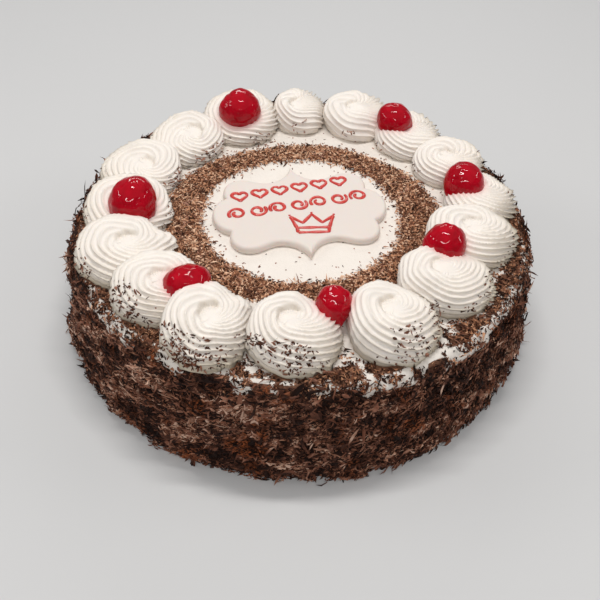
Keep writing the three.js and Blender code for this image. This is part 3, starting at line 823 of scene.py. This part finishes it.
def makeGel(material):
    draw = np.random.default_rng(11)
    allPoints, allFaces, total = [], [], 0
    for line in gelLines():
        points, faces = gelStroke(line, draw)
        allPoints.append(points)
        allFaces += [[v + total for v in face] for face in faces]
        total += len(points)
    makePiece("red_gel_drawing", np.vstack(allPoints), allFaces, material)


sliverFaces = np.array([(0, 2, 1), (0, 3, 2), (0, 1, 3), (1, 2, 5), (1, 5, 4), (2, 3, 6), (2, 6, 5),
                        (3, 1, 4), (3, 4, 6), (4, 5, 7), (5, 6, 7), (6, 4, 7)])
shardFaces = np.array([(0, 1, 3), (1, 2, 3), (2, 0, 3), (1, 0, 4), (2, 1, 4), (0, 2, 4)])


def lying(normals, draw, kind):
    # the way each piece points, its side and its upper face; a kind with a level lies level, or turned from
    # it by about so much, and the others lie every way
    count, level = len(normals), kind.get("level")
    helper = unit(np.cross(normals, np.array([0.13, 0.29, 0.95])))
    other = np.cross(normals, helper)
    heading = draw.uniform(0, 2 * math.pi, count) if level is None else draw.normal(0, level, count)
    flat = helper * np.cos(heading)[:, None] + other * np.sin(heading)[:, None]
    across = np.cross(normals, flat)
    rise = np.abs(draw.normal(0, kind["lift"], count))
    along = flat * np.cos(rise)[:, None] + normals * np.sin(rise)[:, None]
    above = np.cross(along, across)
    roll = draw.normal(0, kind.get("rolling", 0.5), count)
    side = across * np.cos(roll)[:, None] + above * np.sin(roll)[:, None]
    crest = above * np.cos(roll)[:, None] - across * np.sin(roll)[:, None]
    return along, side, crest


def shards(spots, axes, draw, sizes):  # three-cornered crumbs with a peak above and one below
    along, side, crest = axes
    length, width, thick = (size[:, None] for size in sizes)
    short = draw.uniform(0.35, 1.0, (5, len(spots), 1))
    return np.stack([
        spots + along * length * (0.3 + 0.3 * short[0]),
        spots - along * length * 0.5 * short[1] + side * width * 0.7 * short[2],
        spots - along * length * 0.5 * short[3] - side * width * 0.7 * short[4],
        spots + crest * thick,
        spots - crest * thick * 0.6,
    ], axis=1)


def slivers(spots, axes, draw, sizes, curl):  # bent slivers: two pointed ends and two three-cornered sections
    along, side, crest = axes
    length, width, thick = sizes
    bend = curl * draw.normal(0, 1, len(spots)) * length

    def station(share, drop):
        middle = spots + along * ((share + 0.75) * length / 2)[:, None] + crest * (bend * drop)[:, None]
        return middle + side * (bend * 0.5 * drop)[:, None]

    uneven = draw.uniform(0.6, 1.1, (4, len(spots)))
    rings = []
    for middle, k in ((station(-0.45, 0.35), 0), (station(0.35, 0.35), 2)):
        w, t = (width * uneven[k] / 2)[:, None], (thick * uneven[k + 1])[:, None]
        rings += [middle - side * w, middle + side * w, middle + crest * t]
    return np.stack([station(-1, -1), *rings, station(1, -1)], axis=1)


def pieceSizes(draw, kind, common, count):  # length, width and thickness of each piece
    middles = (kind["length"], kind["width"], kind.get("thick", common["thick"]))
    return [middle * np.exp(draw.normal(0, spread, count))
            for middle, spread in zip(middles, common["spreads"])]


def cut(kind, spots, axes, draw, sizes):  # the points and faces of the pieces that lie at some spots
    if "curl" in kind:
        points, pattern = slivers(spots, axes, draw, sizes, kind["curl"]), sliverFaces
    else:
        points, pattern = shards(spots, axes, draw, sizes), shardFaces
    count, corners = points.shape[:2]
    faces = pattern[None] + (np.arange(count) * corners)[:, None, None]
    return points.reshape(-1, 3), faces.reshape(-1, 3)


chocolateToneAndShade = {  # how much lighter the pieces are, or darker below 0
    "ring": -0.36,  # on the outer ring of the top
    "ringFrom": (72 * mm, 78 * mm),  # which sets in over these distances from the middle
    "foot": -0.26,  # at the foot of the side
    "footHeight": 26 * mm,
    "reliefScale": 3.6 * mm,  # painted light on the side's ledges and painted shade in its hollows: relief that would make the side lighter by 1; it stops at half that
}


def toneAndShadeOf(points):  # painted shade in the side's hollows and painted light on its ledges; darker low down, and on the outer ring
    away = np.linalg.norm(points[:, :2] - layout["middle"], axis=1)
    ring = chocolateToneAndShade["ring"] * smoothStep(*chocolateToneAndShade["ringFrom"], away)
    low = chocolateToneAndShade["foot"] * (1 - smoothStep(0, chocolateToneAndShade["footHeight"], points[:, 2]))
    # painted light and shade: lighter where the side stands out, darker in its hollows
    side = np.clip(relief(points) / chocolateToneAndShade["reliefScale"], -0.5, 0.5) + low
    rising = smoothStep(layout["height"] - 6 * mm, layout["height"] - 2 * mm, points[:, 2])
    return side * (1 - rising) + ring * rising


def makeShavings(name, batches, material):
    starts = np.cumsum([0] + [len(points) for points, _ in batches])
    points = np.vstack([points for points, _ in batches])
    faces = np.vstack([faces + start for (_, faces), start in zip(batches, starts)])
    points[:, 2] = np.maximum(points[:, 2], 0.15 * mm)
    makePiece(name, points, faces.tolist(), material, ["cake_body"], smooth=False,
              attributes={"tone": toneAndShadeOf(points)})
    print(name, len(faces), "triangles")


# For each kind: how many, how many mm out from the coat, size, lift from lying flat, turn from lying level.
sideShavings = {
    "crumbs": [dict(count=31000, out=(-0.3, 1.3), length=1.8 * mm, width=1.1 * mm, thick=0.42 * mm, lift=0.3,
                    rolling=0.6, level=1.2)],
    "flakes": [dict(count=31000, out=(0.2, 2.2), length=2.9 * mm, width=0.85 * mm, thick=0.2 * mm, lift=0.24,
                    rolling=0.45, level=0.7)],
    "shavings": [
        dict(count=7600, out=(0.4, 2.2), length=2.7 * mm, width=0.8 * mm, lift=0.2, curl=0.08, level=0.8),
        dict(count=3000, out=(1.0, 2.6), length=3.8 * mm, width=1.0 * mm, lift=0.25, curl=0.12, level=0.9),
        dict(count=420, out=(1.3, 2.8), length=5.4 * mm, width=1.5 * mm, lift=0.34, curl=0.14, level=1.4),
        dict(count=280, out=(0.6, 1.8), length=4.5 * mm, width=1.5 * mm, lift=0.3, curl=0.05, level=1.5,
             low=0.84, avoiding=0.4),  # only high up, and less shy of the bare rim
    ],
    "thick": 0.36 * mm,
    "spreads": (0.38, 0.34, 0.3),  # of length, width and thickness
    "clump": 0.4,  # how unevenly they are heaped
    "clumpSize": 11 * mm,
    "thinFoot": (1 * mm, 9 * mm),  # they lie closer to the coat below these heights
}


def sidePlaces(draw, count, low, high):  # spots on the coat's side and over its rim, and the way out there
    turn = draw.uniform(0, 2 * math.pi, count)
    share = draw.uniform(low, high, count)
    height = share * layout["height"]
    rounded = np.clip((height - layout["height"] + layout["rimRound"]) / layout["rimRound"], 0, 1)
    radius = between(layout["radii"], share) - layout["rimRound"] * (1 - np.sqrt(1 - 0.98 * rounded ** 2))
    outward = unit(np.column_stack([polar(turn, 1), 0.05 + rounded]))
    spots = np.column_stack([polar(turn, radius), height])
    spots[:, :2] += layout["lean"] * share[:, None]
    spots += outward * (relief(spots) * ledgeShare(height) - coat["tuck"])[:, None]
    return spots, outward


def heapedPlaces(draw, kind):  # as many as a kind of piece needs, in heaps and off the bare rim
    spots, outward = sidePlaces(draw, round(kind["count"] * 1.6), kind.get("low", 0.01), 0.985)
    heap = 1 + sideShavings["clump"] * ripple(spots, sideShavings["clumpSize"], 6)
    bare = 1 - kind.get("avoiding", 0.96) * rimBareness(spots)
    kept = np.flatnonzero(draw.uniform(0, 1.5, len(spots)) < heap * bare)[:kind["count"]]
    nearest, furthest = kind["out"]
    out = draw.uniform(nearest * mm, furthest * mm, len(kept))
    out = out * np.clip(heap[kept], 0.5, 1.3) * np.maximum(bare[kept], 0.3)
    out = out * (0.35 + 0.65 * smoothStep(*sideShavings["thinFoot"], spots[kept, 2]))
    return spots[kept] + outward[kept] * out[:, None], outward[kept]


def makeSideShavings(materials):
    draw = np.random.default_rng(101)
    for name, material in materials.items():
        batches = []
        for kind in sideShavings[name]:
            spots, outward = heapedPlaces(draw, kind)
            axes = lying(outward, draw, kind)
            batches.append(cut(kind, spots, axes, draw, pieceSizes(draw, kind, sideShavings, len(spots))))
        makeShavings("side_" + name, batches, material)


topShavings = {  # pile is how high a kind is heaped
    "band": dict(count=17000, length=1.75 * mm, width=0.9 * mm, lift=0.3, pile=1.0 * mm),
    "ring": dict(count=14000, length=1.75 * mm, width=0.9 * mm, lift=0.3, pile=1.0 * mm),
    "flakes": dict(count=1500, length=2.6 * mm, width=0.9 * mm, lift=0.15, curl=0.06, pile=0.7 * mm),
    "specks": dict(count=1700, length=1.3 * mm, width=0.6 * mm, lift=0.06, curl=0.03, pile=0),
    "swirls": dict(length=1.6 * mm, width=0.75 * mm, lift=0.12, curl=0.06, pile=0.3 * mm),
    "bandSpread": 1.6 * mm,  # how far the fine chocolate strays past the band's edges
    "ringInner": 86 * mm,
    "speckReach": (24 * mm, 74 * mm),
    "speckFade": 3.6 * mm,  # how fast the specks thin out from the band
    "swirlFoot": 1.8 * mm,  # what lies higher than this over the top is on a swirl
    "thick": 0.32 * mm,
    "spreads": (0.45, 0.35, 0.3),  # of length, width and thickness
    # drifts on the swirls: rosette, place along it and half breadth, nearest and furthest towards the rim of
    # the cake, all as shares of its radius where a slanting fall would meet the top, and how many
    "drifts": [(0, -0.75, 0.2, -0.25, 0.25, 40), (0, -0.3, 0.45, -0.1, 0.5, 75),
               (0, 0.2, 0.35, 0.05, 0.6, 60), (0, 0.1, 0.7, 0.5, 0.95, 75), (1, 0, 0.3, -0.2, 0.45, 50),
               (1, 0.85, 0.2, -0.4, 0.4, 60), (1, 0.2, 0.7, 0.35, 0.95, 90), (2, -0.3, 0.5, 0.5, 0.95, 30),
               (2, 0.6, 0.3, 0.3, 0.9, 30), (3, 0, 0.6, 0.6, 0.95, 22), (4, 0, 0.6, 0.6, 0.95, 16),
               (5, 0, 0.6, 0.5, 0.95, 16), (6, 0, 0.6, 0.55, 0.95, 16), (7, 0.2, 0.6, 0.6, 0.95, 14),
               (8, 0, 0.6, 0.6, 0.95, 16), (9, 0, 0.6, 0.55, 0.95, 22), (10, 0, 0.6, 0.5, 0.95, 26),
               (11, 0, 0.6, 0.6, 0.95, 20), (12, 0, 0.6, 0.55, 0.95, 24), (13, 0.1, 0.6, 0.4, 0.95, 55),
               (14, -0.1, 0.5, -0.05, 0.8, 110), (14, 0.4, 0.5, 0.5, 0.95, 55),
               (15, 0.05, 0.75, 0, 0.95, 240), (15, 0.2, 0.6, 0.4, 0.95, 110)],
    # and those on their inner sides
    "innerDrifts": [(12, -0.2, 0.6, -0.95, -0.7, 26), (11, 0, 0.6, -0.95, -0.55, 45),
                    (10, 0, 0.6, -0.95, -0.55, 45), (9, -0.3, 0.5, -0.95, -0.6, 26),
                    (8, 0.1, 0.5, -0.95, -0.4, 12), (7, 0, 0.5, -0.95, -0.6, 12),
                    (6, 0.5, 0.3, -0.95, -0.5, 14), (5, 0.2, 0.5, -0.95, -0.6, 10)],
}


def surfaceOf(pieces):
    points, faces, total = [], [], 0
    for piece in pieces:
        points += [v.co.copy() for v in piece.data.vertices]
        faces += [[v + total for v in face.vertices] for face in piece.data.polygons]
        total = len(points)
    return BVHTree.FromPolygons(points, faces)


def dropOnto(surface, plan, slant):
    # where points land that are thrown in from above, or from outside with a slant above 0 and from inside
    # with one below 0, and which way the surface faces there
    spots, normals = [], []
    for x, y in plan:
        inwards = Vector((-x, -y, 0)).normalized() * slant
        fall = Vector((inwards.x, inwards.y, -1))
        start = Vector((x, y, layout["height"])) - fall * 0.15
        spot, normal, _, _ = surface.ray_cast(start, fall.normalized())
        if spot is not None and spot.z > layout["height"] * 0.5:
            spots.append(spot)
            normals.append(normal if normal.dot(fall) < 0 else -normal)
    return np.array(spots), np.array(normals)


def ringOfPlaces(draw, count, inner, outer, middle):
    turn = draw.uniform(0, 2 * math.pi, count)
    return polar(turn, np.sqrt(draw.uniform(inner ** 2, outer ** 2, count))) + middle


def bandPlan(draw, count):
    turn = draw.uniform(0, 2 * math.pi, count)
    inner = layout["bandInner"] + 1.1 * mm * np.sin(turn * 7 + 2) * np.sin(turn * 3)
    across = draw.uniform(-0.02, 1.02, count)
    radius = inner + (bandEdge(turn) - inner) * across + draw.normal(0, topShavings["bandSpread"], count)
    return polar(turn, radius) + layout["middle"]


def ringPlan(draw, count):  # the outer ring of the top, thick in patches and towards the rim
    inner, outer = topShavings["ringInner"], layout["radii"][1]
    plan = ringOfPlaces(draw, count * 4, inner, outer, layout["lean"])
    cover = rimCover(np.column_stack([plan, np.full(len(plan), layout["height"])]))
    edge = smoothStep(inner, outer - 6 * mm, np.linalg.norm(plan - layout["lean"], axis=1))
    return plan[draw.uniform(0, 1, len(plan)) < (cover - 0.1) * (0.2 + 0.8 * edge)][:count]


def speckPlan(draw, count):  # thinning out from the ring of fine chocolate
    plan = ringOfPlaces(draw, count * 3, *topShavings["speckReach"], layout["middle"])
    away = np.linalg.norm(plan - layout["middle"], axis=1)
    off = np.maximum(np.maximum(layout["bandInner"] - away, away - layout["bandOuter"]), 0)
    return plan[draw.uniform(0, 1, len(plan)) < np.exp(-off / topShavings["speckFade"]) + 0.02][:count]


def swirlPlan(draw, drifts):
    plans = []
    for number, place, breadth, nearest, furthest, count in drifts:
        rosette = rosettes[number]
        outwards = polar(math.radians(rosette["bearing"]), 1)
        along = np.array([-outwards[1], outwards[0]])
        out = draw.uniform(nearest, furthest, count)[:, None] * outwards
        aside = draw.normal(place, breadth * 0.6, count)[:, None] * along
        plans.append((out + aside) * rosette["radius"] * mm + rosetteMiddle(rosette))
    return np.vstack(plans)


def scatter(draw, surface, plan, kind, slant=0.0):  # with a slant, only on the swirls, or else only off them
    spots, normals = dropOnto(surface, plan, slant)
    high = spots[:, 2] > layout["height"] + topShavings["swirlFoot"]
    stays = (normals[:, 2] > -0.05) & (high if slant else ~high)
    spots, normals = spots[stays], unit(normals[stays])
    spots = spots + normals * (draw.uniform(0, 1, len(spots)) ** 1.6 * kind["pile"])[:, None]
    sizes = pieceSizes(draw, kind, topShavings, len(spots))
    return cut(kind, spots, lying(normals, draw, kind), draw, sizes)


def makeTopShavings(fine, dark, surface):
    draw = np.random.default_rng(202)
    band, ring, flakes = topShavings["band"], topShavings["ring"], topShavings["flakes"]
    specks, swirls = topShavings["specks"], topShavings["swirls"]
    crumbs = [
        scatter(draw, surface, bandPlan(draw, band["count"]), band),
        scatter(draw, surface, ringPlan(draw, ring["count"]), ring),
    ]
    strewn = [
        scatter(draw, surface, bandPlan(draw, flakes["count"] // 2), flakes),
        scatter(draw, surface, ringPlan(draw, flakes["count"]), flakes),
        scatter(draw, surface, speckPlan(draw, specks["count"]), specks),
        scatter(draw, surface, swirlPlan(draw, topShavings["drifts"]), swirls, 1.0),
        scatter(draw, surface, swirlPlan(draw, topShavings["innerDrifts"]), swirls, -1.0),
    ]
    makeShavings("top_shavings", crumbs, fine)
    makeShavings("strewn_specks", strewn, dark)


view = {
    "focalPixels": 879,
    "frame": 600,  # pixels across
    "pitch": math.radians(43.60),
    "yaw": math.radians(0.17),
    "roll": math.radians(1.95),
    "target": Vector((1.905, -0.381, 0)) * mm,
    "distance": 453.5 * mm,
}


def makeCamera():
    data = bpy.data.cameras.new("camera")
    data.sensor_width = 36
    data.lens = view["focalPixels"] / view["frame"] * data.sensor_width
    data.clip_start = 0.01
    level = math.cos(view["pitch"])
    back = Vector((math.sin(view["yaw"]) * level, -math.cos(view["yaw"]) * level, math.sin(view["pitch"])))
    right = Vector((0, 0, 1)).cross(back).normalized()
    above = back.cross(right)
    roll = view["roll"]
    rolledRight = right * math.cos(roll) + above * math.sin(roll)
    rolledAbove = above * math.cos(roll) - right * math.sin(roll)
    turn = Matrix((rolledRight, rolledAbove, back)).transposed().to_4x4()
    camera = bpy.data.objects.new("camera", data)
    camera.matrix_world = Matrix.Translation(view["target"] + back * view["distance"]) @ turn
    scene.collection.objects.link(camera)
    scene.camera = camera


lampAim = Vector((0, 0, 0.03))
lamps = {  # place, size, power and colour
    "key": ((0.0, 0.14, 1.0), (0.55, 0.06), 4.75, (1, 0.985, 0.965)),
    "front": ((0.0, -0.78, 0.88), (0.7, 0.07), 3.7, (1, 0.985, 0.97)),
    "left": ((-0.95, 0.1, 0.62), (0.5, 0.07), 1.6, (1, 0.985, 0.97)),
    "right": ((0.95, 0.1, 0.62), (0.5, 0.07), 1.3, (1, 0.985, 0.97)),
    "back": ((0.0, 1.0, 0.62), (0.7, 0.07), 1.6, (1, 0.985, 0.97)),
}


def makeLamp(name, place, size, power, colour):
    data = bpy.data.lights.new(name, "AREA")
    data.shape = "RECTANGLE"
    data.size, data.size_y = size
    data.energy = power
    data.color = colour
    lamp = bpy.data.objects.new(name, data)
    lamp.location = place
    lamp.rotation_euler = (lampAim - Vector(place)).to_track_quat("-Z", "Y").to_euler()
    scene.collection.objects.link(lamp)


studio = {
    "flat": 1.9,  # radius of the floor's level part
    "bend": 1.3,
    "height": 2.2,
    "columns": 96,
    "glow": ((0.98, 0.985, 1.0), 0.3),  # colour and strength of the light from all round
}


def makeStudio():  # a round floor that curves up into a wall
    flat, bend, columns = studio["flat"], studio["bend"], studio["columns"]
    profile = [(flat * share, 0) for share in (0.1, 0.5, 0.96)]
    profile += [(flat + bend * math.sin(a), bend * (1 - math.cos(a)))
                for a in np.radians(np.arange(0, 91, 9))]
    profile.append((flat + bend, studio["height"]))
    turns = np.linspace(0, 2 * math.pi, columns, endpoint=False)
    points = [(radius * math.cos(a), radius * math.sin(a), z) for radius, z in profile for a in turns]
    faces = gridFaces(len(profile), columns)[:, ::-1].tolist()
    faces.append(rowFace(0, columns))
    mesh = bpy.data.meshes.new("floor")
    mesh.from_pydata(points, [], faces)
    mesh.materials.append(floorMaterial())
    mesh.shade_smooth()
    piece = bpy.data.objects.new("floor", mesh)
    scene.collection.objects.link(piece)
    world = bpy.data.worlds.new("studio")
    world.use_nodes = True
    colour, strength = studio["glow"]
    world.node_tree.nodes["Background"].inputs["Color"].default_value = (*colour, 1)
    world.node_tree.nodes["Background"].inputs["Strength"].default_value = strength
    scene.world = world
    for name, lamp in lamps.items():
        makeLamp(name, *lamp)
    scene.view_settings.view_transform = "Standard"
    scene.view_settings.look = "None"


print("camera and studio")
makeCamera()
makeStudio()
print("rosettes")
cream = creamMaterial()
rosettePieces = [makeRosette(i, rosette, cream) for i, rosette in enumerate(rosettes)]
print("cherries")
glaze = cherryMaterial()
for i, cherry in enumerate(cherries):
    makeCherry(i, cherry, glaze)
print("coat and plaque")
coatPiece = makeCoat(coatMaterial())
makePlaque(sugarMaterial())
makeGel(gelMaterial())
print("shavings on the side")
makeSideShavings({
    "crumbs": shavingsMaterial("dark_crumbs", chocolateColours["crumbs"], 1.1, 1.2),
    "flakes": shavingsMaterial("dark_flakes", chocolateColours["crumbs"], 1.1, 1.0),
    "shavings": shavingsMaterial("dark_shavings", chocolateColours["shavings"], 0.9),
})
print("shavings on the top")
makeTopShavings(shavingsMaterial("fine_shavings", chocolateColours["fine"]),
                shavingsMaterial("dark_specks", chocolateColours["specks"], 0.3),
                surfaceOf([coatPiece, *rosettePieces]))
